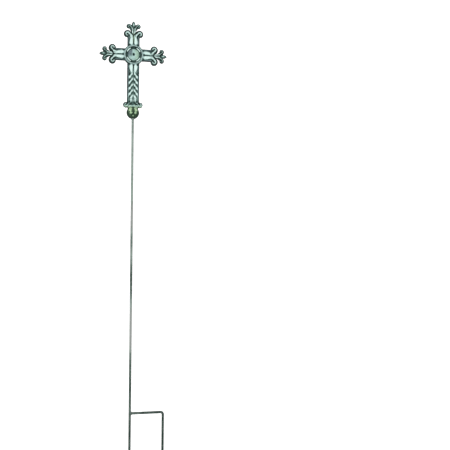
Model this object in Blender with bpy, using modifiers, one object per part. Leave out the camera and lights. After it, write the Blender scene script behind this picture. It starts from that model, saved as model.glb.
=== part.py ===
"""Memorial garden stake: a cast scrollwork cross on a round rod with a two-prong foot.

Metres, +Z up, the front of the cross faces -Y and +X is on the viewer's right.
The origin is on the rod's axis at the soil line, where the underside of the foot bar meets the ground.
The cross is modelled lying on its back: x across, y up the cross, z towards the viewer,
with the middle of the medallion at its origin. It is then stood up on the rod.
"""

import math
from collections import namedtuple

import bmesh
import bpy
from mathutils import Vector
from mathutils.geometry import interpolate_bezier

# Rod and foot
ROD_DIAMETER = 0.006
ROD_SHOWN = 0.708  # from the soil line up to the lower end of the cross
PRONG_SPACING = 0.080  # between the axes of the two prongs
PRONG_DEPTH = 0.120  # from the soil line down to the tips
TIP_LENGTH = 0.014
TIP_FLAT = 0.0024  # diameter of the blunt end of each prong
FOOT_BEND_RADIUS = 0.006  # at the axis of the rod
JOINT_GAP = 0.0003  # between the rod and what is fixed to it

# Cross, overall
ARM_LENGTH = 0.0815  # from the middle of the medallion to the tip of a bud
SHAFT_LENGTH = 0.155  # from the middle of the medallion to the lower end
BAR_WIDTH = 0.0292  # of the arms and the shaft, outside the rails
BACK_DEPTH = 0.0035  # from the rod's axis back to the flat back
FIELD_HEIGHT = 0.0010  # from the rod's axis forward to the sunk field of the bars
WEB_HEIGHT = 0.0004  # to the sunk field behind the scrolls
RAIL_WIDTH = 0.0042
RAIL_CREST = 0.0034
LEAF_CREST = 0.0048
BUD_CREST = 0.0046

# Medallion
MEDALLION_DIAMETER = 0.0500
RING_WIDTH = 0.0055
RING_CREST = 0.0060
MEDALLION_FIELD = 0.0022
ROSETTE_DIAMETER = 0.0364
ROSETTE_RIM_CREST = 0.0054
PETAL_RIM_WIDTH = 0.0028
PETAL_CREST = 0.0048
DOME_DIAMETER = 0.0220
DOME_CREST = 0.0066
EYE_DIAMETER = 0.0036
EYE_DEPTH = 0.0030

# Shaft and lower end
LEAF_PAIRS = 5  # down to where the lower scrolls leave the shaft
FIRST_LEAVES = 0.0430  # from the middle of the medallion down to where the first leaves of the shaft part
FOOT_LENGTH = 0.0572  # from the lower end up to where the lower scrolls leave the shaft
BULB_DIAMETER = 0.0306
SOCKET_DEPTH = 0.0180
SOCKET_WALL = 0.0040
BULB_RELIEF = 0.0018  # how far the leaves stand out from the bulb
BULB_LEAF_BASE = 0.0020
DRAPE_FLOOR = 0.16  # square of the least height that a form on the bulb keeps at the bulb's rim

# Mesh density
ROD_ROUNDNESS = 6  # bevel resolution, 16 sides
BEND_STEPS = 6
SOCKET_SIDES = 24
CURL_STEPS = 11
SWEEP_STEPS = 5
MEDALLION_STEPS = 36
DOME_STEPS = 16

SHOULDER_SHARE = 0.62  # height at which the side of a carved band turns into its round top
OVERLAP = 0.0008  # how far joined forms reach into each other and past a cut
STAGGER = 0.00002  # each form starts this much deeper than the one before, so that no two lie in one plane

COLLECTION_NAME = "garden_stake"

# A scroll in shares of an arm's length, but for its crest: where it starts beside the stem, where it leaves
# the stem, the middle and radius of its curl, and its half width at the root, after the knee and at its end.
# An arm's scrolls are measured from the middle of the medallion, the foot's from where they leave the shaft.
Scroll = namedtuple("Scroll", "root knee centre radius root_width width end_width crest")

LARGE_SCROLL = Scroll((0.030, 0.44), (0.054, 0.53), (0.184, 0.608), 0.078, 0.030, 0.052, 0.037, 0.0056)
SMALL_SCROLL = Scroll((0.020, 0.66), (0.034, 0.735), (0.142, 0.838), 0.049, 0.020, 0.034, 0.025, 0.0048)
FOOT_SCROLL = Scroll((0.024, 0.07), (0.044, 0.15), (0.206, 0.276), 0.060, 0.028, 0.042, 0.031, 0.0050)
CURL_ENTRY = math.radians(146)
CURL_TURN = math.radians(256)
CURL_TIGHTENING = 0.70  # radius at the end of a curl as a share of its first radius
WEB_ROOT, WEB_SIDE, WEB_SHOULDER, WEB_PEAK = 0.3, 0.8, 0.4, 1.5  # the field behind a scroll pair, as shares
NECK_SHARE = 0.54  # where the rails of an arm end, as a share of its reach

# Middle lines and half widths of leaves, as across, along and half width.
# The lobes beside the medallion and the leaves of the shaft are in half widths of the sunk field across;
# along, a lobe runs from the medallion's ring to its own end, and a shaft leaf falls in pitches.
NECK_LOBE = ((0.50, 0.0, 0.44), (0.52, 0.3, 0.46), (0.50, 0.6, 0.42), (0.38, 0.9, 0.26), (0.24, 1.1, 0.06))
SHAFT_LEAF = ((0.10, 0, 0.18), (0.26, 0.2, 0.30), (0.5, 0.42, 0.35), (0.78, 0.66, 0.30), (1.02, 0.88, 0.10))

# The two pairs of leaves and the bud on the bulb, in radii of the bulb.
UPPER_BULB_LEAF = ((0.05, 1.0, 0.12), (0.26, 0.7, 0.26), (0.56, 0.26, 0.26), (0.8, -0.2, 0.06))
LOWER_BULB_LEAF = ((0.04, 0.34, 0.1), (0.24, 0.06, 0.26), (0.46, -0.32, 0.22), (0.58, -0.66, 0.06))
BULB_BUD = ((-0.26, 0.04), (-0.42, 0.16), (-0.6, 0.18), (-0.78, 0.04))
BUD = ((0.80, 0.024), (0.86, 0.040), (0.905, 0.052), (0.95, 0.044), (1.0, 0.006))

# A petal of the rosette and its raised rim, in radii of the rosette.
PETAL = ((0.50, 0.18), (0.60, 0.28), (0.70, 0.28), (0.78, 0.12))
PETAL_RIM_RADIUS = 0.87
PETAL_RIM_SPREAD = math.radians(30)


def empty_scene():
    for obj in list(bpy.data.objects):
        bpy.data.objects.remove(obj, do_unlink=True)


def new_collection(name):
    made = bpy.data.collections.new(name)
    bpy.context.scene.collection.children.link(made)
    return made


def metal(name, colour, roughness, metallic):
    made = bpy.data.materials.new(name)
    made.use_nodes = True
    shader = made.node_tree.nodes["Principled BSDF"]
    shader.inputs["Base Color"].default_value = (*colour, 1.0)
    shader.inputs["Roughness"].default_value = roughness
    shader.inputs["Metallic"].default_value = metallic
    return made


def as_mesh(obj, collection):
    """The evaluated shape of obj as a mesh object with its name and place and with its caps welded on."""
    bpy.context.view_layer.update()
    graph = bpy.context.evaluated_depsgraph_get()
    mesh = bpy.data.meshes.new_from_object(obj.evaluated_get(graph))
    form = bmesh.new()
    form.from_mesh(mesh)
    bmesh.ops.remove_doubles(form, verts=form.verts, dist=1e-6)
    bmesh.ops.recalc_face_normals(form, faces=form.faces)
    form.to_mesh(mesh)
    form.free()
    name = obj.name
    place = obj.matrix_world.copy()
    bpy.data.objects.remove(obj, do_unlink=True)
    made = bpy.data.objects.new(name, mesh)
    made.matrix_world = place
    collection.objects.link(made)
    return made


def poly_curve(name, points, radii, closed=False, flat=False):
    """A curve object through the points, with a radius at each."""
    data = bpy.data.curves.new(name, "CURVE")
    data.dimensions = "2D" if flat else "3D"
    spline = data.splines.new("POLY")
    spline.points.add(len(points) - 1)
    for knot, point, radius in zip(spline.points, points, radii):
        knot.co = (*point, 1.0)
        knot.radius = radius
    spline.use_cyclic_u = closed
    obj = bpy.data.objects.new(name, data)
    bpy.context.scene.collection.objects.link(obj)
    return obj


def arch_section(rise, foot):
    """Section of a carved band, in half widths: upright sides and a round top."""
    shoulder = SHOULDER_SHARE * rise
    points = [(-1.0, -foot, 0.0), (-1.0, shoulder, 0.0)]
    for angle in (140, 90, 40):
        turn = math.radians(angle)
        points.append((math.cos(turn), shoulder + (rise - shoulder) * math.sin(turn), 0.0))
    points += [(1.0, shoulder, 0.0), (1.0, -foot, 0.0)]
    return poly_curve("section", points, [1.0] * len(points), closed=True, flat=True)


def sunk(tools):
    """How far the next form starts below the face it stands on or is cut at."""
    return OVERLAP + STAGGER * len(tools.objects)


def band(name, path, widths, crest, tools, base=-BACK_DEPTH):
    """A carved band along a path in the plane of the cross, standing on the face at the height base."""
    widest = max(widths)
    section = arch_section((crest - base) / widest, sunk(tools) / widest)
    line = poly_curve(name, [(x, y, 0.0) for x, y in path], widths, flat=True)
    line.data.bevel_mode = "OBJECT"
    line.data.bevel_object = section
    line.data.use_fill_caps = True
    line.location.z = base
    made = as_mesh(line, tools)
    bpy.data.objects.remove(section, do_unlink=True)
    return made


def flat_form(name, outline, top, tools):
    """A flat plate with this outline, from behind the back up to its top."""
    low = -BACK_DEPTH - sunk(tools)
    form = poly_curve(name, [(x, y, 0.0) for x, y in outline], [1.0] * len(outline), closed=True, flat=True)
    form.data.fill_mode = "BOTH"
    form.data.extrude = (top - low) / 2
    form.location.z = (low + top) / 2
    return as_mesh(form, tools)


def turned_form(name, profile, steps, tools):
    """A form turned about the z axis. The profile runs from the top of the axis out, down and back to it."""
    mesh = bpy.data.meshes.new(name)
    edges = [(i, i + 1) for i in range(len(profile) - 1)]
    mesh.from_pydata([(radius, 0.0, height) for radius, height in profile], edges, [])
    obj = bpy.data.objects.new(name, mesh)
    bpy.context.scene.collection.objects.link(obj)
    turn = obj.modifiers.new("turn", "SCREW")
    turn.steps = steps
    turn.render_steps = steps
    turn.use_merge_vertices = True
    turn.merge_threshold = 1e-5
    return as_mesh(obj, tools)


def around(point, angle):
    """The point turned by angle about the middle of the medallion."""
    x, y = point
    c, s = math.cos(angle), math.sin(angle)
    return (c * x - s * y, s * x + c * y)


def scroll_start(scroll):
    """How far from the middle of the medallion a scroll's own measures start."""
    return SHAFT_LENGTH - FOOT_LENGTH if scroll is FOOT_SCROLL else 0.0


def scroll_path(scroll):
    """Centre line and half widths of the right-hand scroll of an arm that points up."""
    start = Vector((0.0, scroll_start(scroll)))
    places = (scroll.root, scroll.knee, scroll.centre)
    root, knee, centre = (start + Vector(share) * ARM_LENGTH for share in places)
    radius = scroll.radius * ARM_LENGTH
    entry = centre + radius * Vector((math.cos(CURL_ENTRY), math.sin(CURL_ENTRY)))
    heading = Vector((math.sin(CURL_ENTRY), -math.cos(CURL_ENTRY)))
    pull = 0.4 * (entry - knee).length
    rise = interpolate_bezier(knee, knee + Vector((0, pull)), entry - heading * pull, entry, SWEEP_STEPS)
    path = [root] + [point.to_2d() for point in rise]
    widths = [scroll.root_width] + [scroll.width] * len(rise)
    for step in range(1, CURL_STEPS + 1):
        share = step / CURL_STEPS
        angle = CURL_ENTRY - CURL_TURN * share
        distance = radius * (1 - (1 - CURL_TIGHTENING) * share)
        path.append(centre + distance * Vector((math.cos(angle), math.sin(angle))))
        widths.append(scroll.width + (scroll.end_width - scroll.width) * share)
    return [(p.x, p.y) for p in path], [width * ARM_LENGTH for width in widths]


def leaf_band(name, leaf, crest, angle, side, tools, base=-BACK_DEPTH):
    """A band along a leaf's middle line, on one side of an arm that is turned by angle."""
    path = [around((side * across, along), angle) for across, along, _ in leaf]
    return band(name, path, [half for _, _, half in leaf], crest, tools, base)


def scroll_pair(name, scroll, angle, tools):
    path, widths = scroll_path(scroll)
    for side in (-1, 1):
        turned = [around((side * x, y), angle) for x, y in path]
        band(name, turned, widths, scroll.crest, tools)


def bud(angle, tools):
    """The pointed bud between the small scrolls."""
    leaf = [(0.0, along * ARM_LENGTH, half * ARM_LENGTH) for along, half in BUD]
    leaf_band("bud", leaf, BUD_CREST, angle, 1, tools)


def web(scroll, angle, tools):
    """The sunk field behind a scroll pair, from the stem to the eyes of the two curls."""
    start = scroll_start(scroll)
    across, along = (share * ARM_LENGTH for share in scroll.centre)
    low = start + scroll.root[1] * ARM_LENGTH
    middle = start + along
    eye = scroll.radius * ARM_LENGTH
    side = WEB_SIDE * eye
    right = [(WEB_ROOT * across, low), (across, middle - side), (across + side, middle)]
    right.append((across, middle + WEB_SHOULDER * eye))
    left = [(-x, y) for x, y in reversed(right)]
    outline = right + [(0.0, middle + WEB_PEAK * eye)] + left
    flat_form("web", [around(p, angle) for p in outline], WEB_HEIGHT, tools)


def ring_middle():
    return MEDALLION_DIAMETER / 2 - RING_WIDTH / 2


def neck_lobes(end, angle, tools):
    """The pair of long lobes that come out from under the medallion's ring."""
    half = BAR_WIDTH / 2 - RAIL_WIDTH
    start = ring_middle()
    leaf = [(across * half, start + along * (end - start), wide * half) for across, along, wide in NECK_LOBE]
    for side in (-1, 1):
        leaf_band("lobe", leaf, LEAF_CREST, angle, side, tools, FIELD_HEIGHT)


def rails(end, angle, tools):
    """The rails along both edges of an arm, from the medallion's ring outwards."""
    across = BAR_WIDTH / 2 - RAIL_WIDTH / 2
    start = math.sqrt(ring_middle() ** 2 - across ** 2)
    half = RAIL_WIDTH / 2
    for side in (-1, 1):
        leaf_band("rail", [(across, start, half), (across, end, half)], RAIL_CREST, angle, side, tools)


def fleury_end(angle, tools):
    """The end of an arm: neck, large scrolls, small scrolls and bud."""
    neck = NECK_SHARE * ARM_LENGTH
    rails(neck, angle, tools)
    neck_lobes(neck, angle, tools)
    scroll_pair("large_scroll", LARGE_SCROLL, angle, tools)
    scroll_pair("small_scroll", SMALL_SCROLL, angle, tools)
    web(LARGE_SCROLL, angle, tools)
    web(SMALL_SCROLL, angle, tools)
    bud(angle, tools)


def bars(tools):
    """The sunk field of the arms and the shaft."""
    neck = NECK_SHARE * ARM_LENGTH
    low_end = bulb_centre() + BULB_DIAMETER / 4
    half = BAR_WIDTH / 2 - RAIL_WIDTH / 2
    outline = [(-half, low_end), (half, low_end), (half, -half), (neck, -half), (neck, half), (half, half)]
    outline += [(half, neck), (-half, neck), (-half, half), (-neck, half), (-neck, -half), (-half, -half)]
    flat_form("bars", outline, FIELD_HEIGHT, tools)


def medallion(tools):
    """A raised ring round a sunk field that holds the rosette."""
    outer = MEDALLION_DIAMETER / 2
    inner = outer - RING_WIDTH
    shoulder = MEDALLION_FIELD + 0.55 * (RING_CREST - MEDALLION_FIELD)
    low = -BACK_DEPTH - sunk(tools)
    profile = [
        (0.0, MEDALLION_FIELD),
        (inner, MEDALLION_FIELD),
        (inner + 0.12 * RING_WIDTH, shoulder),
        (inner + 0.34 * RING_WIDTH, RING_CREST),
        (inner + 0.66 * RING_WIDTH, RING_CREST),
        (inner + 0.90 * RING_WIDTH, shoulder),
        (outer, FIELD_HEIGHT),
        (outer, low),
        (0.0, low),
    ]
    turned_form("medallion", profile, MEDALLION_STEPS, tools)


def rosette(tools):
    """A dome with a pierced eye, and four petals with raised rims on the diagonals."""
    radius = ROSETTE_DIAMETER / 2
    petal = [(0.0, along * radius, half * radius) for along, half in PETAL]
    for quarter in range(4):
        diagonal = math.radians(45 + 90 * quarter)
        leaf_band("petal", petal, PETAL_CREST, diagonal, 1, tools, MEDALLION_FIELD)
        path = []
        for share in (-1, -0.5, 0, 0.5, 1):
            path.append(around((0.0, PETAL_RIM_RADIUS * radius), diagonal + share * PETAL_RIM_SPREAD))
        widths = [share * PETAL_RIM_WIDTH / 2 for share in (0.5, 0.95, 1.0, 0.95, 0.5)]
        band("petal_rim", path, widths, ROSETTE_RIM_CREST, tools, MEDALLION_FIELD)
    dome = DOME_DIAMETER / 2
    eye = EYE_DIAMETER / 2
    rise = DOME_CREST - MEDALLION_FIELD
    pit = DOME_CREST - EYE_DEPTH
    lip = math.radians(80)
    profile = [(0.0, pit), (eye, pit), (eye, MEDALLION_FIELD + rise * math.sin(lip))]
    for angle in (70, 50, 35, 20):
        turn = math.radians(angle)
        profile.append((dome * math.cos(turn), MEDALLION_FIELD + rise * math.sin(turn)))
    low = MEDALLION_FIELD - OVERLAP
    profile += [(dome, MEDALLION_FIELD), (dome, low), (0.0, low)]
    turned_form("dome", profile, DOME_STEPS, tools)


def bulb_centre():
    return -SHAFT_LENGTH + BULB_DIAMETER / 2


def bulb_crest():
    """How far the bulb stands out from the rod's axis, front and back."""
    return ROD_DIAMETER / 2 + JOINT_GAP + SOCKET_WALL


def foot_scroll_top():
    """How far from the middle of the medallion the curls of the lower scrolls begin."""
    return scroll_start(FOOT_SCROLL) + (FOOT_SCROLL.centre[1] - FOOT_SCROLL.radius) * ARM_LENGTH


def shaft_leaves(tools):
    """Pairs of leaves that part from the stem and fall to the rails, one pair below another."""
    half = BAR_WIDTH / 2 - RAIL_WIDTH
    pitch = (scroll_start(FOOT_SCROLL) - FIRST_LEAVES) / (LEAF_PAIRS - 1)
    for pair in range(LEAF_PAIRS):
        top = FIRST_LEAVES + pair * pitch
        leaf = [(across * half, top + along * pitch, wide * half) for across, along, wide in SHAFT_LEAF]
        for side in (-1, 1):
            leaf_band("leaf", leaf, LEAF_CREST, math.pi, side, tools, FIELD_HEIGHT)


def draped(form, centre, radius):
    """Lowers a form towards the rim of the bulb, so that it follows the bulb's round front."""
    for vert in form.data.vertices:
        place = form.matrix_basis @ vert.co
        out = math.hypot(place.x, place.y - centre) / radius
        place.z *= math.sqrt(max(1 - out ** 2, DRAPE_FLOOR))
        vert.co = form.matrix_basis.inverted() @ place


def bulb(tools):
    """The round lower end, thick enough to hold the rod, with two pairs of leaves and a bud on its front."""
    radius = BULB_DIAMETER / 2
    mesh = bpy.data.meshes.new("bulb")
    form = bmesh.new()
    bmesh.ops.create_uvsphere(form, u_segments=24, v_segments=12, radius=1.0)
    bmesh.ops.scale(form, vec=(radius, radius, bulb_crest()), verts=form.verts)
    form.to_mesh(mesh)
    form.free()
    ball = bpy.data.objects.new("bulb", mesh)
    ball.location.y = bulb_centre()
    tools.objects.link(ball)
    middle = -bulb_centre()
    crest = bulb_crest() + BULB_RELIEF
    point = [(0.0, along, half) for along, half in BULB_BUD]
    for shares, sides in ((UPPER_BULB_LEAF, (-1, 1)), (LOWER_BULB_LEAF, (-1, 1)), (point, (1,))):
        leaf = [(across * radius, middle - along * radius, half * radius) for across, along, half in shares]
        for side in sides:
            form = leaf_band("bulb_leaf", leaf, crest, math.pi, side, tools, BULB_LEAF_BASE)
            draped(form, bulb_centre(), radius)


def boolean(obj, operation, other):
    """Joins obj with an object or with every object of a collection, or cuts it by them.

    The forms are all closed, and EXACT leaves inner faces where so many of them cross.
    """
    change = obj.modifiers.new(operation.lower(), "BOOLEAN")
    change.operation = operation
    change.solver = "MANIFOLD"
    if isinstance(other, bpy.types.Collection):
        change.operand_type = "COLLECTION"
        change.collection = other
    else:
        change.object = other


def cylinder(name, radius, low, high, sides, collection):
    """A cylinder on the y axis between two heights."""
    mesh = bpy.data.meshes.new(name)
    form = bmesh.new()
    bmesh.ops.create_cone(
        form, cap_ends=True, segments=sides, radius1=radius, radius2=radius, depth=high - low
    )
    form.to_mesh(mesh)
    form.free()
    made = bpy.data.objects.new(name, mesh)
    made.rotation_euler.x = math.pi / 2
    made.location.y = (low + high) / 2
    collection.objects.link(made)
    return made


def box(name, low, high, collection):
    """A box between two opposite corners."""
    mesh = bpy.data.meshes.new(name)
    form = bmesh.new()
    bmesh.ops.create_cube(form, size=1.0)
    bmesh.ops.scale(form, vec=Vector(high) - Vector(low), verts=form.verts)
    form.to_mesh(mesh)
    form.free()
    made = bpy.data.objects.new(name, mesh)
    made.location = (Vector(low) + Vector(high)) / 2
    collection.objects.link(made)
    return made


def make_cross(parts):
    """One casting: relief forms joined and cut flat behind, joined to the bulb and bored for the rod."""
    relief = new_collection("relief_forms")
    lower_end = new_collection("lower_end_forms")
    cutters = new_collection("cutters")
    bars(relief)
    medallion(relief)
    rosette(relief)
    for quarter in (0, 1, 3):
        fleury_end(quarter * math.pi / 2, relief)
    rails(foot_scroll_top(), math.pi, relief)
    neck_lobes(FIRST_LEAVES, math.pi, relief)
    shaft_leaves(relief)
    scroll_pair("foot_scroll", FOOT_SCROLL, math.pi, relief)
    web(FOOT_SCROLL, math.pi, relief)
    bulb(lower_end)

    reach = 2 * SHAFT_LENGTH
    behind = box("behind", (-reach, -reach, -reach), (reach, reach, -BACK_DEPTH), cutters)
    socket = cylinder(
        "socket",
        ROD_DIAMETER / 2 + JOINT_GAP,
        -SHAFT_LENGTH - BULB_DIAMETER,
        -SHAFT_LENGTH + SOCKET_DEPTH,
        SOCKET_SIDES,
        cutters,
    )
    cross = relief.objects["bars"]
    relief.objects.unlink(cross)
    parts.objects.link(cross)
    cross.name = "cast_cross"
    boolean(cross, "UNION", relief)
    boolean(cross, "DIFFERENCE", behind)
    boolean(cross, "UNION", lower_end)
    boolean(cross, "DIFFERENCE", socket)
    cross.data.materials.append(metal("verdigris_casting", (0.42, 0.53, 0.48), 0.62, 0.35))

    seat = bpy.data.objects.new("cross_seat", None)
    seat.location.z = ROD_SHOWN + SHAFT_LENGTH
    seat.rotation_euler.x = math.pi / 2
    parts.objects.link(seat)
    for form in (cross, *relief.objects, *lower_end.objects, *cutters.objects):
        form.parent = seat
    for form in (*relief.objects, *lower_end.objects, *cutters.objects):
        form.hide_render = True
        form.display_type = "WIRE"


def rod_through(name, points, radii, parts, finish):
    """A round rod along the points, with flat ends."""
    rod = poly_curve(name, points, radii)
    rod.data.bevel_depth = ROD_DIAMETER / 2
    rod.data.bevel_resolution = ROD_ROUNDNESS
    rod.data.use_fill_caps = True
    made = as_mesh(rod, parts)
    made.data.shade_smooth()
    made.data.set_sharp_from_angle(angle=math.radians(40))
    made.data.materials.append(finish)
    return made


def prong_end(x):
    """The last two points of a prong and their shares of the rod's radius: a taper with a blunt end."""
    points = [(x, 0.0, -PRONG_DEPTH + TIP_LENGTH), (x, 0.0, -PRONG_DEPTH)]
    return points, [1.0, TIP_FLAT / ROD_DIAMETER]


def make_stake_rod(parts, finish):
    top = ROD_SHOWN + SOCKET_DEPTH - JOINT_GAP
    points, radii = prong_end(0.0)
    rod_through("stake_rod", [(0.0, 0.0, top)] + points, [1.0] + radii, parts, finish)


def make_step_prong(parts, finish):
    """The foot bar, which lies on the soil, and the second prong, bent from one rod."""
    start = ROD_DIAMETER / 2 + JOINT_GAP
    bar = ROD_DIAMETER / 2
    centre = (PRONG_SPACING - FOOT_BEND_RADIUS, bar - FOOT_BEND_RADIUS)
    points = [(start, 0.0, bar)]
    for step in range(BEND_STEPS + 1):
        angle = math.pi / 2 * (1 - step / BEND_STEPS)
        x = centre[0] + FOOT_BEND_RADIUS * math.cos(angle)
        z = centre[1] + FOOT_BEND_RADIUS * math.sin(angle)
        points.append((x, 0.0, z))
    end_points, end_radii = prong_end(PRONG_SPACING)
    radii = [1.0] * len(points) + end_radii
    rod_through("step_prong", points + end_points, radii, parts, finish)


def main():
    empty_scene()
    parts = new_collection(COLLECTION_NAME)
    make_cross(parts)
    rod_finish = metal("verdigris_rod", (0.17, 0.24, 0.22), 0.6, 0.4)
    make_stake_rod(parts, rod_finish)
    make_step_prong(parts, rod_finish)


main()
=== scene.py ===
# %% [markdown]
# # A garden stake with a cast cross
# The object is a cross cast in metal, fixed on a plain round rod. At the foot a second, bent rod is welded on:
# it makes the bar that one steps on and a second prong, which keeps the stake from turning in the soil.
# Everything is finished as old verdigris: nearly black in the hollows, darkened further there by painted shade, and
# pale mint where the relief stands up.

# %% The frame
import math
from collections import namedtuple

import bmesh
import bpy
from mathutils import Matrix, Vector, noise
from mathutils.bvhtree import BVHTree
from mathutils.kdtree import KDTree


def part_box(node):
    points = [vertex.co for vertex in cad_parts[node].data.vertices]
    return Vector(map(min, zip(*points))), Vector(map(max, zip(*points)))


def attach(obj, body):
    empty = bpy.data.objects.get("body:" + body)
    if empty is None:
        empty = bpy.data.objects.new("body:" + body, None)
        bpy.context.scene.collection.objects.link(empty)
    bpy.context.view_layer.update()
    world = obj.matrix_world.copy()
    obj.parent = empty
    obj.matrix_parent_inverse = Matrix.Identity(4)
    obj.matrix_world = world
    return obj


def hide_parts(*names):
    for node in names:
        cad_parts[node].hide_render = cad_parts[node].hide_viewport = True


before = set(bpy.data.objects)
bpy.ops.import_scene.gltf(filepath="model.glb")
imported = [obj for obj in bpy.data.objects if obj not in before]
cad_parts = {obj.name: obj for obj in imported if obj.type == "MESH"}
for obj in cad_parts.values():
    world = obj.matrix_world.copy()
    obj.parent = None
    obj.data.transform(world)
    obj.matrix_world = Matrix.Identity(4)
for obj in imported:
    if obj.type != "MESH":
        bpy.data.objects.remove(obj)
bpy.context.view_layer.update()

cross_low, cross_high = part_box("cast_cross")
rod_low, rod_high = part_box("stake_rod")
prong_low, prong_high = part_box("step_prong")
print("cross", cross_low, cross_high)

# %% [markdown]
# ## The camera
# The photograph was taken from a little under two metres, at half the height of the stake, with the camera looking
# past it to the right. The numbers put the cross and the foot bar where the picture shows them.

# %% Camera
CAMERA_PLACE = (-0.235, -1.918, 0.437)
CAMERA_TILT, CAMERA_ROLL, CAMERA_YAW = 0.57, -0.52, -13.645  # degrees
FILM_WIDTH = 36.0
FOCAL_PIXELS = 800
IMAGE_PIXELS = 450

camera_data = bpy.data.cameras.new("camera")
camera_data.sensor_width = FILM_WIDTH
camera_data.lens = FOCAL_PIXELS / IMAGE_PIXELS * FILM_WIDTH
camera = bpy.data.objects.new("camera", camera_data)
camera.location = CAMERA_PLACE
camera.rotation_euler = [math.radians(a) for a in (90 + CAMERA_TILT, CAMERA_ROLL, CAMERA_YAW)]
bpy.context.scene.collection.objects.link(camera)
bpy.context.scene.camera = camera
print("lens", round(camera_data.lens, 1), "mm")

# %% [markdown]
# ## Working by hand, in code
# Blender's operators act on what is selected, so each step starts from nothing selected. With no window,
# a positive angle turns clockwise, so one helper hides that sign. The last helper merges doubled corners and turns
# the faces outwards, which the Boolean steps rely on.


# %% Helpers for selecting and finishing
def nothing_selected():
    if bpy.context.object and bpy.context.object.mode != "OBJECT":
        bpy.ops.object.mode_set(mode="OBJECT")
    bpy.ops.object.select_all(action="DESELECT")


def choose(*objects):
    nothing_selected()
    for obj in objects:
        obj.select_set(True)
    bpy.context.view_layer.objects.active = objects[0]


def edit(obj, mode="FACE"):
    choose(obj)
    bpy.ops.object.mode_set(mode="EDIT")
    bpy.ops.mesh.select_mode(type=mode)


def turn(angle, centre, axis="Z"):
    """Turns what is selected anticlockwise about an axis through centre."""
    bpy.ops.transform.rotate(value=-angle, orient_axis=axis, center_override=centre)


def apply_all(obj):
    choose(obj)
    for modifier in list(obj.modifiers):
        bpy.ops.object.modifier_apply(modifier=modifier.name)


def closed(obj):
    """Merges doubles, turns the faces outwards and says whether the mesh is one closed skin."""
    form = bmesh.new()
    form.from_mesh(obj.data)
    bmesh.ops.remove_doubles(form, verts=form.verts, dist=1e-6)
    bmesh.ops.recalc_face_normals(form, faces=form.faces)
    open_edges = sum(len(edge.link_faces) != 2 for edge in form.edges)
    form.to_mesh(obj.data)
    form.free()
    if open_edges:
        print(obj.name, "has", open_edges, "open edges")
    return obj


# %% [markdown]
# ## The sizes of the cross
# The cross is modelled lying on its back: x across it, y up it, z towards the viewer, with the middle of its
# medallion at the origin. Its overall size is read from the frame. The carving repeats the shares that the solid
# was made from, so that every form lies where the solid has it.

# %% Sizes of the cross
ARM = (cross_high.x - cross_low.x) / 2
MIDDLE = Vector(((cross_high.x + cross_low.x) / 2, 0.0, cross_high.z - ARM))
SHAFT = MIDDLE.z - cross_low.z
ROD_RADIUS = (rod_high.x - rod_low.x) / 2
BAR_WIDTH = 0.0292
BACK = -0.0035  # the flat back, behind the rod's axis
FIELD = 0.0010  # the sunk field of the bars
WEB = 0.0004  # the sunk field behind the scrolls
RAIL_WIDTH = 0.0042
RAIL_CREST = 0.0034
LEAF_CREST = 0.0048
BUD_CREST = 0.0046
OVERLAP = 0.0008  # how far a form starts inside what it stands on
print("arm %.1f mm, shaft %.1f mm" % (ARM * 1000, SHAFT * 1000))

# %% [markdown]
# ## A carved band
# The pattern for such a casting is carved. Its scrolls, leaves, rails and buds are all bands. A bevelled curve
# would do, but it swells where it turns sharply. So a section is drawn once, at right angles to the way it goes,
# and then extruded step by step, moved, turned and made wider or narrower, as a carver works along a band.
# A scroll is highest near its inner edge and steps down to a low outer edge, as a rolled leaf does. A lobe is
# round, a leaf has a vein, and a rail is flat on top.

# %% Sections
# Each point is across, in half widths, and up, as a share of the height. A scroll's inner edge is at +1.
SCROLL_EDGE = [(1.0, 0.52), (0.95, 0.70), (0.85, 0.80), (0.74, 0.79), (0.64, 0.85), (0.46, 0.95), (0.24, 1.0)]
SCROLL_EDGE += [(0.04, 0.98), (-0.12, 0.90), (-0.26, 0.76), (-0.40, 0.68), (-0.58, 0.67), (-0.76, 0.64)]
SCROLL_EDGE += [(-0.90, 0.56), (-1.0, 0.34)]
LOBE_SIDE = [(1.0, 0.10), (0.95, 0.34), (0.84, 0.58), (0.68, 0.78), (0.48, 0.92), (0.25, 0.985)]
LEAF_SIDE = [(1.0, 0.30), (0.96, 0.58), (0.88, 0.76), (0.70, 0.90), (0.46, 0.97), (0.20, 0.95)]
RAIL_SIDE = [(1.0, 0.66), (0.93, 0.82), (0.80, 0.92), (0.62, 0.955), (0.40, 0.93)]
VEIN = 0.86  # height of a leaf's middle line
RAIL_MIDDLE = 0.92  # height of a rail's middle line


def mirrored(side, top):
    return side + [(0.0, top)] + [(-x, z) for x, z in reversed(side)]


SECTIONS = {"scroll": SCROLL_EDGE, "lobe": mirrored(LOBE_SIDE, 1.0), "leaf": mirrored(LEAF_SIDE, VEIN)}
SECTIONS["rail"] = mirrored(RAIL_SIDE, RAIL_MIDDLE)
SECTIONS = {name: [(1.0, 0.0)] + edge + [(-1.0, 0.0)] for name, edge in SECTIONS.items()}
print({name: len(points) for name, points in SECTIONS.items()})


# %% Growing a band
LEAST_HALF_WIDTH = 0.0003  # the narrowest that a leaf's tip gets


def headings(path):
    """The direction of the path at each point, half way between the stretches that meet there."""
    steps = [(b - a).normalized() for a, b in zip(path, path[1:])]
    mean = [(a + b).normalized() for a, b in zip(steps, steps[1:])]
    return [math.atan2(d.y, d.x) for d in [steps[0]] + mean + [steps[-1]]]


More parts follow.
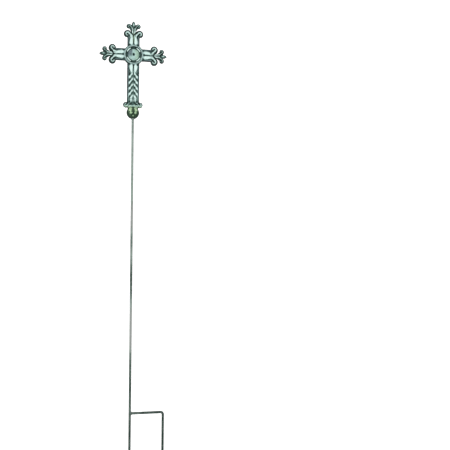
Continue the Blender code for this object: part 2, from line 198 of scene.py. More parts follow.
def grow(name, kind, path, widths, rise, base, foot):
    """A band along the path, with half its width at each point and its full height at the widest."""
    points = SECTIONS[kind]
    path = [Vector(p) for p in path]
    turns = headings(path)
    widest = max(widths)
    nothing_selected()
    bpy.ops.mesh.primitive_circle_add(vertices=len(points), fill_type="NGON")
    obj = bpy.context.object
    obj.name = name
    first = widths[0] / widest
    side = Vector((math.sin(turns[0]), -math.cos(turns[0])))
    for vert, (across, up) in zip(obj.data.vertices, points):
        height = up * rise if up else -foot
        place = path[0] + side * (across * widths[0])
        vert.co = (place.x, place.y, base + height * first)
    edit(obj)
    bpy.ops.mesh.select_all(action="SELECT")
    for i in range(1, len(path)):
        move = path[i] - path[i - 1]
        ratio = widths[i] / widths[i - 1]
        here = (path[i].x, path[i].y, base)
        bpy.ops.mesh.extrude_region_move(TRANSFORM_OT_translate={"value": (move.x, move.y, 0)})
        turn(turns[i] - turns[i - 1], here)
        bpy.ops.transform.resize(value=(ratio, ratio, ratio), center_override=here)
    bpy.ops.object.mode_set(mode="OBJECT")
    return closed(obj)


def smooth_line(points, steps):
    """A smooth line through given points, with steps stretches between each pair."""
    ends = [2 * points[0] - points[1]] + points + [2 * points[-1] - points[-2]]
    line = []
    for a, b, c, d in zip(ends, ends[1:], ends[2:], ends[3:]):
        for step in range(steps):
            t = step / steps
            bend, swing = 2 * a - 5 * b + 4 * c - d, 3 * b - a - 3 * c + d
            line.append(0.5 * (2 * b + (c - a) * t + bend * t**2 + swing * t**3))
    return line + [points[-1]]


def leaf_shape(shares, across, along, start=0.0, steps=5):
    """Path and half widths of a leaf from its shares across, along and wide."""
    points = [Vector((x * across, start + y * along, wide * across)) for x, y, wide in shares]
    line = smooth_line(points, steps)
    return [(p.x, p.y) for p in line], [max(p.z, LEAST_HALF_WIDTH) for p in line]


# %% [markdown]
# ## Copies
# The same forms come back on every arm and on both sides. A mirror modifier could do one side, but the arms need
# turning too. So a form is modelled once, for the right-hand side of an arm that points up, and copied with a mesh
# of its own. Mirroring turns a shape inside out, so its faces are turned outwards again.

# %% Copying forms
forms = []


def place_copy(original, angle, side):
    choose(original)
    bpy.ops.object.duplicate()
    copy = bpy.context.object
    edit(copy)
    bpy.ops.mesh.select_all(action="SELECT")
    if side < 0:
        bpy.ops.transform.resize(value=(-1, 1, 1), center_override=(0, 0, 0))
    if angle:
        turn(angle, (0, 0, 0))
    bpy.ops.object.mode_set(mode="OBJECT")
    forms.append(closed(copy))
    return copy


def place_pairs(original, angles):
    for angle in angles:
        for side in (1, -1):
            place_copy(original, angle, side)
    bpy.data.objects.remove(original)


ARM_ANGLES = (0.0, math.pi / 2, -math.pi / 2)  # the upper arm and the two side arms
DOWN = (math.pi,)  # the shaft

# %% [markdown]
# ## Scrolls
# Each arm ends in a large pair and a small pair of scrolls, and the shaft has a pair near its foot. A scroll
# leaves the stem, swings out and curls back on itself. Its curl gets tighter as it turns, by the same share at
# every step, as a snail's shell does. A spiral drawn by hand looks uneven, so a sweep with two handles runs into
# a spiral worked out in code.

# %% Scroll pairs
CURL_ENTRY = math.radians(146)
CURL_TURN = math.radians(256)
CURL_TIGHTENING = 0.70
CURL_STEPS = 30
SWEEP_STEPS = 12
SWEEP_PULL = 0.4  # reach of the sweep's two handles
FOOT_START = SHAFT - 0.0572  # where the lower scrolls leave the shaft

# Places are across and along, radius and half widths follow, all as shares of the arm. The crest is in metres.
Scroll = namedtuple("Scroll", "root knee centre radius root_width width end_width crest")
LARGE_SCROLL = Scroll((0.030, 0.44), (0.054, 0.53), (0.184, 0.608), 0.078, 0.030, 0.052, 0.037, 0.0056)
SMALL_SCROLL = Scroll((0.020, 0.66), (0.034, 0.735), (0.142, 0.838), 0.049, 0.020, 0.034, 0.025, 0.0048)
FOOT_SCROLL = Scroll((0.024, 0.07), (0.044, 0.15), (0.206, 0.276), 0.060, 0.028, 0.042, 0.031, 0.0050)


def scroll_line(shape, start):
    offset = Vector((0.0, start))
    root, knee, centre = (offset + Vector(share) * ARM for share in (shape.root, shape.knee, shape.centre))
    radius = shape.radius * ARM
    entry = centre + radius * Vector((math.cos(CURL_ENTRY), math.sin(CURL_ENTRY)))
    heading = Vector((math.sin(CURL_ENTRY), -math.cos(CURL_ENTRY)))
    pull = SWEEP_PULL * (entry - knee).length
    first, second = knee + Vector((0, pull)), entry - heading * pull
    path, widths = [root], [shape.root_width]
    for step in range(SWEEP_STEPS + 1):
        t = step / SWEEP_STEPS
        s = 1 - t
        path.append(knee * s**3 + first * 3 * s * s * t + second * 3 * s * t * t + entry * t**3)
        widths.append(shape.width)
    for step in range(1, CURL_STEPS + 1):
        share = step / CURL_STEPS
        angle = CURL_ENTRY - CURL_TURN * share
        distance = radius * CURL_TIGHTENING**share
        path.append(centre + distance * Vector((math.cos(angle), math.sin(angle))))
        widths.append(shape.width * (shape.end_width / shape.width) ** share)
    return path, [half * ARM for half in widths]


SCROLL_PAIRS = (
    ("large_scroll", LARGE_SCROLL, ARM_ANGLES, 0.0),
    ("small_scroll", SMALL_SCROLL, ARM_ANGLES, 0.0),
    ("foot_scroll", FOOT_SCROLL, DOWN, FOOT_START),
)
scroll_bands = []  # where the scrolls run, kept for the finish
for name, shape, angles, start in SCROLL_PAIRS:
    path, widths = scroll_line(shape, start)
    scroll_bands.append((path, widths, angles))
    place_pairs(grow(name, "scroll", path, widths, shape.crest - BACK, BACK, OVERLAP), angles)
print(len(forms), "scrolls")

# %% [markdown]
# ## Leaves, lobes, rails and buds
# Two long lobes come out from under the medallion's ring on every arm, with a rail outside each. Down the shaft,
# pairs of leaves part from the stem and fall to the rails. Squashed balls would be quicker, but a band has a crest
# that bends with it.

# %% Leaves and rails
RING_OUTER = 0.0250
RING_WIDTH = 0.0055
RING_MIDDLE = RING_OUTER - RING_WIDTH / 2
NECK_END = 0.54 * ARM
FIRST_LEAVES = 0.0430
LEAF_PAIRS = 5
NECK_LOBE = ((0.50, 0.0, 0.44), (0.52, 0.3, 0.46), (0.50, 0.6, 0.42), (0.38, 0.9, 0.26), (0.24, 1.1, 0.06))
SHAFT_LEAF = ((0.10, 0, 0.14), (0.30, 0.2, 0.22), (0.55, 0.46, 0.31), (0.80, 0.76, 0.28), (1.02, 1.04, 0.10))
THROAT_LEAF = ((0.012, 0.565, 0.014), (0.024, 0.61, 0.026), (0.034, 0.67, 0.030), (0.038, 0.735, 0.020))
THROAT_CREST = 0.0042
BUD = ((0, 0.80, 0.024), (0, 0.86, 0.040), (0, 0.905, 0.052), (0, 0.95, 0.044), (0, 1.0, 0.006))
FIELD_HALF = BAR_WIDTH / 2 - RAIL_WIDTH
RAIL_STEPS = 12


def leaf(name, kind, shares, across, along, start, crest, base, angles):
    path, widths = leaf_shape(shares, across, along, start)
    place_pairs(grow(name, kind, path, widths, crest - base, base, OVERLAP), angles)


leaf("lobe", "lobe", NECK_LOBE, FIELD_HALF, NECK_END - RING_MIDDLE, RING_MIDDLE, LEAF_CREST, FIELD, ARM_ANGLES)
leaf("lobe", "lobe", NECK_LOBE, FIELD_HALF, FIRST_LEAVES - RING_MIDDLE, RING_MIDDLE, LEAF_CREST, FIELD, DOWN)
pitch = (FOOT_START - FIRST_LEAVES) / (LEAF_PAIRS - 1)
for pair in range(LEAF_PAIRS):
    leaf("leaf", "leaf", SHAFT_LEAF, FIELD_HALF, pitch, FIRST_LEAVES + pair * pitch, LEAF_CREST, FIELD, DOWN)

leaf("throat_leaf", "lobe", THROAT_LEAF, ARM, ARM, 0.0, THROAT_CREST, WEB, ARM_ANGLES)

bud_path, bud_widths = leaf_shape(BUD, ARM, ARM)
bud = grow("bud", "lobe", bud_path, bud_widths, BUD_CREST - BACK, BACK, OVERLAP)
for angle in ARM_ANGLES:
    place_copy(bud, angle, 1)
bpy.data.objects.remove(bud)


def rail(end, angles):
    across = BAR_WIDTH / 2 - RAIL_WIDTH / 2
    start = math.sqrt(RING_MIDDLE**2 - across**2)
    path = [(across, start + (end - start) * step / RAIL_STEPS) for step in range(RAIL_STEPS + 1)]
    widths = [RAIL_WIDTH / 2] * len(path)
    place_pairs(grow("rail", "rail", path, widths, RAIL_CREST - BACK, BACK, OVERLAP), angles)


rail(NECK_END, ARM_ANGLES)
rail(FOOT_START + (FOOT_SCROLL.centre[1] - FOOT_SCROLL.radius) * ARM, DOWN)
print(len(forms), "forms")


# %% [markdown]
# ## Plates
# Behind the carving lie flat plates: one cross-shaped plate for the bars and one behind each pair of scrolls, which
# keeps their curls joined. A cube for each bar would do, but one outline leaves no seams.
# A plate is a filled circle whose corners are moved to the outline, and which is then extruded to its top.


# %% Plates
def plate(name, outline, top):
    nothing_selected()
    bpy.ops.mesh.primitive_circle_add(vertices=len(outline), fill_type="NGON")
    obj = bpy.context.object
    obj.name = name
    low = BACK - OVERLAP
    for vert, (x, y) in zip(obj.data.vertices, outline):
        vert.co = (x, y, low)
    edit(obj)
    bpy.ops.mesh.select_all(action="SELECT")
    bpy.ops.mesh.extrude_region_move(TRANSFORM_OT_translate={"value": (0, 0, top - low)})
    bpy.ops.object.mode_set(mode="OBJECT")
    return closed(obj)


def web(shape, angles, start):
    """The plate behind a pair of scrolls, with its corners inside the curls."""
    across, middle, eye = shape.centre[0] * ARM, start + shape.centre[1] * ARM, shape.radius * ARM
    side = 0.8 * eye
    right = [(0.3 * across, start + shape.root[1] * ARM), (across, middle - side), (across + side, middle)]
    right.append((across, middle + 0.4 * eye))
    outline = right + [(0.0, middle + 1.5 * eye)] + [(-x, y) for x, y in reversed(right)]
    original = plate("web", outline, WEB)
    for angle in angles:
        place_copy(original, angle, 1)
    bpy.data.objects.remove(original)


for name, shape, angles, start in SCROLL_PAIRS:
    web(shape, angles, start)

BULB_RADIUS = 0.0153
BULB_MIDDLE = -SHAFT + BULB_RADIUS
half = BAR_WIDTH / 2 - RAIL_WIDTH / 2
low_end = BULB_MIDDLE + BULB_RADIUS / 2
neck = NECK_END
outline = [(-half, low_end), (half, low_end), (half, -half), (neck, -half), (neck, half), (half, half)]
outline += [(half, neck), (-half, neck), (-half, half), (-neck, half), (-neck, -half), (-half, -half)]
bars = plate("bars", outline, FIELD)
print(len(forms), "forms and the bars")

# %% [markdown]
# ## The medallion
# The round boss at the crossing has a ring with two rolls, a sunk field and a fluted dome with an eye. It could be
# spun from a profile, which needs its seam and its pole merged. So it is a cylinder whose front is made smaller
# again and again, with the new ring raised or lowered each time.

# %% Medallion
MEDALLION_FIELD = 0.0022
RING_CREST = 0.0060
ROSETTE = 0.0182
DOME = 0.0110
DOME_CREST = 0.0066
EYE = 0.0023
EYE_DEPTH = 0.0030
SKIRT = 0.0042  # height of the low skirt that the dome stands on
DOME_STEP = 8  # degrees
FLUTES = 12
FLUTE_DEPTH = 0.0007
ROUND_SIDES = 96
MEDALLION_LOW = BACK - 1.5 * OVERLAP


def turned(name, profile, sides, low):
    """A cylinder whose top is brought to each radius and each height in turn."""
    radius, height = profile[0]
    nothing_selected()
    depth = height - low
    centre = (0, 0, low + depth / 2)
    bpy.ops.mesh.primitive_cylinder_add(vertices=sides, radius=radius, depth=depth, location=centre)
    obj = bpy.context.object
    obj.name = name
    bpy.ops.object.transform_apply(location=True, rotation=True, scale=True)
    edit(obj)
    bpy.ops.mesh.select_all(action="DESELECT")
    bpy.ops.object.mode_set(mode="OBJECT")
    for face in obj.data.polygons:
        face.select = face.normal.z > 0.9
    bpy.ops.object.mode_set(mode="EDIT")
    for new_radius, new_height in profile[1:]:
        bpy.ops.mesh.extrude_region_move(TRANSFORM_OT_translate={"value": (0, 0, new_height - height)})
        ratio = new_radius / radius
        bpy.ops.transform.resize(value=(ratio, ratio, 1), center_override=(0, 0, new_height))
        radius, height = new_radius, new_height
    bpy.ops.object.mode_set(mode="OBJECT")
    return closed(obj)


RING_ROLLS = [(0.0250, FIELD), (0.0248, 0.0030), (0.0243, 0.0042), (0.0236, 0.0047), (0.0229, 0.0044)]
RING_ROLLS += [(0.0224, 0.0040), (0.0219, 0.0048), (0.0214, 0.0057), (0.0208, RING_CREST), (0.0202, 0.0057)]
RING_ROLLS += [(0.0197, 0.0046), (0.0194, 0.0032), (0.0192, MEDALLION_FIELD), (0.0138, MEDALLION_FIELD)]
SKIRT_EDGE = [(0.0135, 0.0030), (0.0130, 0.0036), (0.0121, 0.0040)]
profile = RING_ROLLS + SKIRT_EDGE
dome_rise = DOME_CREST - SKIRT
for degrees in range(0, 81, DOME_STEP):
    tilt = math.radians(degrees)
    profile.append((max(DOME * math.cos(tilt), EYE), SKIRT + dome_rise * math.sin(tilt)))
profile += [(EYE, DOME_CREST - 0.4 * EYE_DEPTH), (0.7 * EYE, DOME_CREST - EYE_DEPTH)]
medallion = turned("medallion", profile, ROUND_SIDES, MEDALLION_LOW)

for vert in medallion.data.vertices:
    out = math.hypot(vert.co.x, vert.co.y)
    if vert.co.z > SKIRT and EYE * 1.5 < out < DOME:
        share = (out - EYE) / (DOME - EYE)
        wave = abs(math.sin(FLUTES / 2 * math.atan2(vert.co.y, vert.co.x)))
        vert.co.z -= FLUTE_DEPTH * (1 - wave) ** 2 * math.sin(math.pi * share**0.6)
forms.append(medallion)
print("medallion", len(medallion.data.polygons), "faces")

# %% [markdown]
# ## Beads, petals and rims
# The outer roll carries beads: small balls with few faces, because there are many. Four petals and four curved
# rims lie on the rosette's diagonals. They are short bands, grown once and turned.

# %% Beads, petals and rims
BEADS = 54
BEAD_RADIUS = 0.0010
BEAD_PLACE = (0, 0.0236, 0.0047)
nothing_selected()
bpy.ops.mesh.primitive_uv_sphere_add(segments=12, ring_count=8, radius=BEAD_RADIUS, location=BEAD_PLACE)
bead = bpy.context.object
bpy.ops.object.transform_apply(location=True, rotation=True, scale=True)
for number in range(BEADS):
    place_copy(bead, 2 * math.pi * number / BEADS, 1)
bpy.data.objects.remove(bead)

PETAL = ((0, 0.50, 0.18), (0, 0.60, 0.28), (0, 0.70, 0.28), (0, 0.78, 0.12))
PETAL_CREST = 0.0048
RIM_RADIUS = 0.925 * ROSETTE
RIM_HALF_WIDTH = 0.0020
RIM_CREST = 0.0054
RIM_SPREAD = math.radians(24)
RIM_STEPS = 8  # on each side of its middle
DIAGONALS = [math.radians(45 + 90 * quarter) for quarter in range(4)]
petal_path, petal_widths = leaf_shape(PETAL, ROSETTE, ROSETTE)
petal_rise, rim_rise = PETAL_CREST - MEDALLION_FIELD, RIM_CREST - MEDALLION_FIELD
petal = grow("petal", "leaf", petal_path, petal_widths, petal_rise, MEDALLION_FIELD, OVERLAP)
rim_path, rim_widths = [], []
for step in range(2 * RIM_STEPS + 1):
    share = step / RIM_STEPS - 1
    angle = math.pi / 2 - share * RIM_SPREAD
    rim_path.append((RIM_RADIUS * math.cos(angle), RIM_RADIUS * math.sin(angle)))
    rim_widths.append(RIM_HALF_WIDTH * (1 - 0.5 * share**4))
rim = grow("rim", "lobe", rim_path, rim_widths, rim_rise, MEDALLION_FIELD, OVERLAP)
for angle in DIAGONALS:
    place_copy(petal, angle, 1)
    place_copy(rim, angle, 1)
bpy.data.objects.remove(petal)
bpy.data.objects.remove(rim)
print(len(forms), "forms")

# %% [markdown]
# ## The bulb at the lower end
# The round lower end, which holds the rod, is a flattened ball. Two pairs of leaves and a bud lie on its front.
# Projecting them on it would stretch their sides, so they are grown flat and lowered towards the rim.

# %% Bulb
BULB_CREST = 0.0073
BULB_RELIEF = 0.0018
BALL_CREST = 0.0064  # the ball itself, below its leaves
UPPER_LEAF = ((0.05, 1.0, 0.12), (0.28, 0.74, 0.24), (0.58, 0.40, 0.26), (0.84, 0.02, 0.08))
LOWER_LEAF = ((0.04, 0.34, 0.14), (0.22, 0.14, 0.26), (0.44, -0.14, 0.22), (0.62, -0.44, 0.06))
BULB_BUD = ((0, -0.26, 0.04), (0, -0.42, 0.16), (0, -0.6, 0.18), (0, -0.78, 0.04))
BULB_BASE = 0.0020
DRAPE_FLOOR = 0.16  # square of the least height that a form on the bulb keeps at its rim
nothing_selected()
bpy.ops.mesh.primitive_uv_sphere_add(segments=64, ring_count=32, radius=BULB_RADIUS, location=(0, BULB_MIDDLE, 0))
ball = bpy.context.object
bpy.ops.object.transform_apply(location=True, rotation=True, scale=True)
edit(ball)
bpy.ops.mesh.select_all(action="SELECT")
bpy.ops.transform.resize(value=(1, 1, BALL_CREST / BULB_RADIUS), center_override=(0, BULB_MIDDLE, 0))
bpy.ops.object.mode_set(mode="OBJECT")


def drape(obj):
    for vert in obj.data.vertices:
        out = math.hypot(vert.co.x, vert.co.y - BULB_MIDDLE) / BULB_RADIUS
        vert.co.z *= math.sqrt(max(1 - out**2, DRAPE_FLOOR))


lower_forms = []
for shares, sides in ((UPPER_LEAF, (1, -1)), (LOWER_LEAF, (1, -1)), (BULB_BUD, (1,))):
    path, widths = leaf_shape([(x, -y, w) for x, y, w in shares], BULB_RADIUS, BULB_RADIUS, -BULB_MIDDLE)
    rise = BULB_CREST + BULB_RELIEF - BULB_BASE
    original = grow("bulb_leaf", "leaf", path, widths, rise, BULB_BASE, OVERLAP)
    for side in sides:
        copy = place_copy(original, math.pi, side)
        forms.remove(copy)
        drape(copy)
        lower_forms.append(copy)
    bpy.data.objects.remove(original)
print(len(lower_forms), "forms on the bulb")


# %% [markdown]
# ## One casting
# The real cross is poured in one piece. Forms that only touch would show dark seams, so they are joined by Boolean
# unions, cut flat at the back, joined to the bulb and bored. The manifold solver takes them all in one go.


# %% Joining
SOCKET_GAP = 0.0003
SOCKET_RADIUS = ROD_RADIUS + SOCKET_GAP
SOCKET_TOP = rod_high.z + SOCKET_GAP - MIDDLE.z
SOCKET_LENGTH = 0.1
SOCKET_SIDES = 48
BLOCK = 0.6  # the block that cuts the back flat


def boolean(obj, operation, *others):
    group = bpy.data.collections.new("operands")
    bpy.context.scene.collection.children.link(group)
    for other in others:
        group.objects.link(other)
    change = obj.modifiers.new(operation, "BOOLEAN")
    change.operation = operation
    change.solver = "MANIFOLD"
    change.operand_type = "COLLECTION"
    change.collection = group
    apply_all(obj)
    bpy.data.collections.remove(group)
    for other in others:
        bpy.data.objects.remove(other)


nothing_selected()
bpy.ops.mesh.primitive_cube_add(size=BLOCK, location=(0, 0, BACK - BLOCK / 2))
block = bpy.context.object
bpy.ops.mesh.primitive_cylinder_add(
    vertices=SOCKET_SIDES,
    radius=SOCKET_RADIUS,
    depth=SOCKET_LENGTH,
    location=(0, SOCKET_TOP - SOCKET_LENGTH / 2, 0),
    rotation=(math.pi / 2, 0, 0),
)
socket = bpy.context.object
cross = bars
cross.name = "cross_casting"
boolean(cross, "UNION", *forms)
boolean(cross, "DIFFERENCE", block)
boolean(cross, "UNION", ball, *lower_forms)
boolean(cross, "DIFFERENCE", socket)
closed(cross)
print("cross", len(cross.data.polygons), "faces")

# %% [markdown]
# ## The skin of a casting
# Sand casting rounds every edge a little and leaves the surface uneven. A voxel remesh gives an even net of faces,
# which a decimation thins where the surface is flat. Two displacements, one broad and one fine, then move the
# surface by tenths of a millimetre.


# %% Cast skin
def lumpy(obj, name, size, strength):
    texture = bpy.data.textures.new(name, "CLOUDS")
    texture.noise_scale = size
    lump = obj.modifiers.new(name, "DISPLACE")
    lump.texture = texture
    lump.strength = strength
    lump.mid_level = 0.5
    lump.texture_coords = "LOCAL"


VOXEL = 0.00046
FACES_KEPT = 170000
SKIN_LUMPS = (("uneven", 0.007, 0.00034), ("sandy", 0.0017, 0.00018))  # name, size and strength

remesh = cross.modifiers.new("net", "REMESH")
remesh.mode = "VOXEL"
remesh.voxel_size = VOXEL
apply_all(cross)
thinning = cross.modifiers.new("thinning", "DECIMATE")
thinning.ratio = FACES_KEPT / sum(len(face.vertices) - 2 for face in cross.data.polygons)
apply_all(cross)
for name, size, strength in SKIN_LUMPS:
    lumpy(cross, name, size, strength)
apply_all(cross)
closed(cross)
cross.data.shade_smooth()
print("cross", len(cross.data.polygons), "faces after the remesh")

# %% [markdown]
# ## Creases between the scrolls
# Where scrolls part there is a narrow cut, painted dark with painted shade as well. A Boolean cutter would leave
# its edges sharp, so the front of the skin is pressed in.

# %% Creases
# A crease runs up from the middle line of an arm on both sides: where it starts, and how far out it goes.
CREASES = ((0.0478, 0.0070), (0.0634, 0.0050))
CREASE_HALF_WIDTH = 0.0013
CREASE_DEPTH = 0.0012


def ease(value, low, high):
    share = min(max((value - low) / (high - low), 0.0), 1.0)
    return share * share * (3 - 2 * share)


def crease(x, y):
    """How near a point is to a crease: 1 in the middle of it, 0 beside it."""
    along, across = max(abs(x), y), min(abs(x), abs(y))
    if y < -BAR_WIDTH:
        return 0.0
    near = [abs(along - start - across) / math.sqrt(2) for start, reach in CREASES if across < reach]
    return 1 - ease(min(near), 0.0, CREASE_HALF_WIDTH) if near else 0.0


mesh = cross.data
in_front = [vert.normal.z > 0.2 for vert in mesh.vertices]
for vert, front in zip(mesh.vertices, in_front):
    if front:
        vert.co.z -= CREASE_DEPTH * crease(vert.co.x, vert.co.y)
mesh.update()
print(sum(in_front), "points face forwards")

# %% [markdown]
# ## Where the pale finish stays, and painted shade
# The finish was laid on thickly and wiped, so its dark ground stays in the hollows, and painted shade darkens them
# further. It stays pale on what faces forwards, with painted shade on the sides where the surface turns away, and
# it is darker along the whole outline. Three things tell where: how open a point lies, from a fan of rays that meet
# metal near by or don't, how far it faces forwards, and its distance from the outline.

# %% Measures of the surface
RAYS = 14
RAY_LENGTH = 0.0065
RAY_START = 0.0002  # above the surface
WALL_GAP = 0.012  # beside a wall of the outline
RIM_WIDTH = 0.0034  # how far in from the outline of a bar the colour is made darker
EDGE_WIDTH = 0.0017  # the same for everything else


def fan(count):
    golden = math.pi * (3 - math.sqrt(5))
    for number in range(count):
        z = 1 - (number + 0.5) / count * 0.92
        r = math.sqrt(1 - z * z)
        yield Vector((r * math.cos(golden * number), r * math.sin(golden * number), z))


def store(obj, name, values):
    attribute = obj.data.attributes.new(name, "FLOAT", "POINT")
    attribute.data.foreach_set("value", values)


def openness(mesh, tree):
    rays = list(fan(RAYS))
    shares = []
    for vert in mesh.vertices:
        normal = vert.normal
        across = normal.orthogonal().normalized()
        beside = normal.cross(across)
        start = vert.co + normal * RAY_START
        met = 0.0
        for ray in rays:
            way = across * ray.x + beside * ray.y + normal * ray.z
            hit = tree.ray_cast(start, way, RAY_LENGTH)
            if hit[0] is not None:
                met += math.sqrt(1 - hit[3] / RAY_LENGTH)
        shares.append(1 - met / len(rays))
    return shares


def outline_distance(mesh, tree):
    """Distance in the plane of the cross from the nearest point of a side wall with nothing beside it."""
    walls = []
    for vert in mesh.vertices:
        way = Vector((vert.normal.x, vert.normal.y, 0))
        if way.length > 0.93:
            if tree.ray_cast(vert.co + way * 0.0003, way.normalized(), WALL_GAP)[0] is None:
                walls.append(vert.co)
    nearest = KDTree(len(walls))
    for number, wall in enumerate(walls):
        nearest.insert((wall.x, wall.y, 0), number)
    nearest.balance()
    return [nearest.find((vert.co.x, vert.co.y, 0))[2] for vert in mesh.vertices]


tree = BVHTree.FromPolygons([v.co for v in mesh.vertices], [p.vertices for p in mesh.polygons])
opened = openness(mesh, tree)
edge_distance = outline_distance(mesh, tree)
print("open from %.2f to %.2f" % (min(opened), max(opened)))
print("furthest from the outline %.1f mm" % (max(edge_distance) * 1000))

# %% [markdown]
# ## Tones of the parts
# The same finish looks different from one part to the next. A scroll is pale on its inner half, and its outer half,
# which falls away, is dark with painted shade. On the medallion the four curved rims are the brightest, and its
# ring is middling. The rails are worn to a purple grey, the buds are nearly bare, and the bulb has a green tinge.
# It could be painted by hand, but a share worked out for each point follows the shapes when they change.

# %% Tones
RAIL_INNER = BAR_WIDTH / 2 - RAIL_WIDTH
BULB_TOP = 2.2 * BULB_RADIUS - SHAFT
ROLL_INNER = 0.0192
PETALS_INNER = 0.0140
MARGIN = 0.0004  # what the remesh adds at the side of a bar
BUD_START, BUD_FULL = 0.86 * ARM, 0.92 * ARM
BUD_DARKER = 0.72
SIDE_ARM_SHARE = 0.86  # of the upper arm's tone


def band_points():
    """Every step of every scroll: place, way to the inner edge, half width and share of the way."""
    points = []
    for path, widths, angles in scroll_bands:
        inward = [Vector((math.sin(turn), -math.cos(turn))) for turn in headings([Vector(p) for p in path])]
        for angle in angles:
            for side in (1, -1):
                for number, (place, inner, width) in enumerate(zip(path, inward, widths)):
                    spot = Matrix.Rotation(angle, 2) @ Vector((side * place[0], place[1]))
                    way = Matrix.Rotation(angle, 2) @ Vector((side * inner.x, inner.y))
                    points.append((spot, way, width, number / (len(path) - 1)))
    return points


bands = band_points()
band_tree = KDTree(len(bands))
for number, band in enumerate(bands):
    band_tree.insert((*band[0], 0), number)
band_tree.balance()


def scroll_tone(x, y):
    """Pale on a scroll's inner half, with painted shade on its outer half, or None away from the scrolls."""
    _, number, distance = band_tree.find((x, y, 0))
    spot, inner, width, share = bands[number]
    across = (Vector((x, y)) - spot).dot(inner) / width
    if distance > 1.15 * width:
        return None
    # painted shade: the outer half of the band, where it falls away, is made dark
    shade_edge = -0.90 + 0.90 * ease(share, 0.04, 0.24)
    return 0.04 + 0.90 * ease(across, shade_edge + 0.04, shade_edge + 0.36)


def part_tone(x, y, z):
    """How pale the finish is at this point, and how purple."""
    out = math.hypot(x, y)
    if out < RING_OUTER + 0.0003:
        if out > ROLL_INNER:
            return 0.82 * ease(z, 0.0024, 0.0050), 0.35
        if out > PETALS_INNER:
            return 0.12 + 0.88 * ease(z, MEDALLION_FIELD + 0.0006, MEDALLION_FIELD + 0.0018), 0.0
        left = ease(-x, 0.001, 0.006) * ease(y, -0.008, 0.002)
        eye = 1 - ease(math.hypot(x, 0.75 * y), 0.0020, 0.0034)
        return (0.60 - 0.20 * left) * (1 - eye), 0.15 + 0.85 * left
    if y < BULB_TOP:
        share = min(math.hypot(x, y - BULB_MIDDLE) / BULB_RADIUS, 1.0)
        above = z - BALL_CREST * math.sqrt(1 - share * share)
        lower = ease(BULB_MIDDLE - y, -0.004, 0.007)
        return 0.20 - 0.12 * lower + (0.56 - 0.20 * lower) * ease(above, 0.0001, 0.0011), 0.0
    raised = 0.52 + 0.48 * ease(z, 0.0014, 0.0036)
    along, across = max(abs(x), abs(y)), min(abs(x), abs(y))
    if RAIL_INNER < across < BAR_WIDTH / 2 + MARGIN and (along < NECK_END or NECK_END < -y < FOOT_START):
        return 0.56 * raised, 0.8
    band = scroll_tone(x, y)
    if band is not None and z > WEB + 0.0008:
        return band, 0.1
    if -y > FOOT_START + 0.008:
        return 0.34 * raised, 0.1
    sunk, bud = 0.0, 0.0
    if y > -NECK_END:
        sunk = 0.45 * ease(along, NECK_END, NECK_END + 0.004) * (1 - ease(z, 0.0010, 0.0032))
        bud = BUD_DARKER * ease(along, BUD_START, BUD_FULL)
    if abs(x) > abs(y):
        raised *= SIDE_ARM_SHARE
    return raised * (1.0 - bud) * (1 - sunk), 0.1


def green(x, y):
    """How mossy the finish is: on the bulb, and along the middle of the upper arm."""
    line = ease(y, 0.026, 0.032) * ease(-y, -0.056, -0.046) * ease(-abs(x), -0.0028, -0.0012)
    dome = 0.4 * ease(x, 0.001, 0.007) * ease(-math.hypot(x, y), -0.015, -0.012)
    return max(ease(-y, SHAFT - 0.034, SHAFT - 0.026), 0.8 * line, dome)


pale, plum, moss = [], [], []
for vert, air, distance in zip(mesh.vertices, opened, edge_distance):
    x, y, z = vert.co
    tone, purple = part_tone(x, y, z)
    # painted shade: the pale share falls away where the surface turns sideways from the front
    facing_shade = ease(vert.normal.z, 0.30, 0.92)
    # darker where less open: the finish's dark ground in the hollows, with painted shade on top
    sky = ease(air, 0.30, 0.82)
    out = math.hypot(x, y)
    along, across = max(abs(x), abs(y)), min(abs(x), abs(y))
    on_bar = across < BAR_WIDTH / 2 + MARGIN and (along < NECK_END or -y > NECK_END)
    reach = 0.0014 if out < RING_OUTER else RIM_WIDTH if on_bar else EDGE_WIDTH
    # the share is lowered within a band along the outline
    rim = 1 - ease(distance, 0.0004, reach)
    # the creases are painted dark too: painted shade in the cut
    pale.append(tone * facing_shade * sky * (1 - 0.85 * rim) * (1 - 0.9 * crease(x, y)))
    plum.append(purple)
    moss.append(green(x, y))
store(cross, "pale", pale)
store(cross, "plum", plum)
store(cross, "moss", moss)
store(cross, "behind", [max(-v.normal.z, 0.0) for v in mesh.vertices])
print("mean pale share %.2f" % (sum(pale) / len(pale)))

# %% [markdown]
# ## Standing the cross up
# The cross was modelled lying down. It is turned up and moved to the top of the rod, and both are applied.

# %% Standing the cross up
choose(cross)
cross.rotation_euler.x = math.pi / 2
cross.location = MIDDLE
bpy.ops.object.transform_apply(location=True, rotation=True, scale=True)
print("cross up to", round(max(vert.co.z for vert in mesh.vertices), 3), "m")

# %% [markdown]
# ## The rods
# Both rods are drawn wire. A cylinder has no rings for the uneven skin to move, so the main rod is one filled
# circle extruded down in even steps, with a tapered tip.

# %% Main rod
ROD_SIDES = 32
TIP_LENGTH = 0.014
TIP_SHARE = 0.4
TIP_STEPS = 5
STEP = 0.004
ROD_LUMPS, ROD_ROUGHNESS = 0.004, 0.00018


def rod_start(name, place, rotation):
    nothing_selected()
    bpy.ops.mesh.primitive_circle_add(
        vertices=ROD_SIDES, radius=ROD_RADIUS, fill_type="NGON", location=place, rotation=rotation
    )
    obj = bpy.context.object
    obj.name = name
    bpy.ops.object.transform_apply(location=True, rotation=True, scale=True)
    edit(obj)
    bpy.ops.mesh.select_all(action="SELECT")
    return obj


def extrude_straight(way, length):
    count = max(1, round(length / STEP))
    for _ in range(count):
        bpy.ops.mesh.extrude_region_move(TRANSFORM_OT_translate={"value": way * (length / count)})


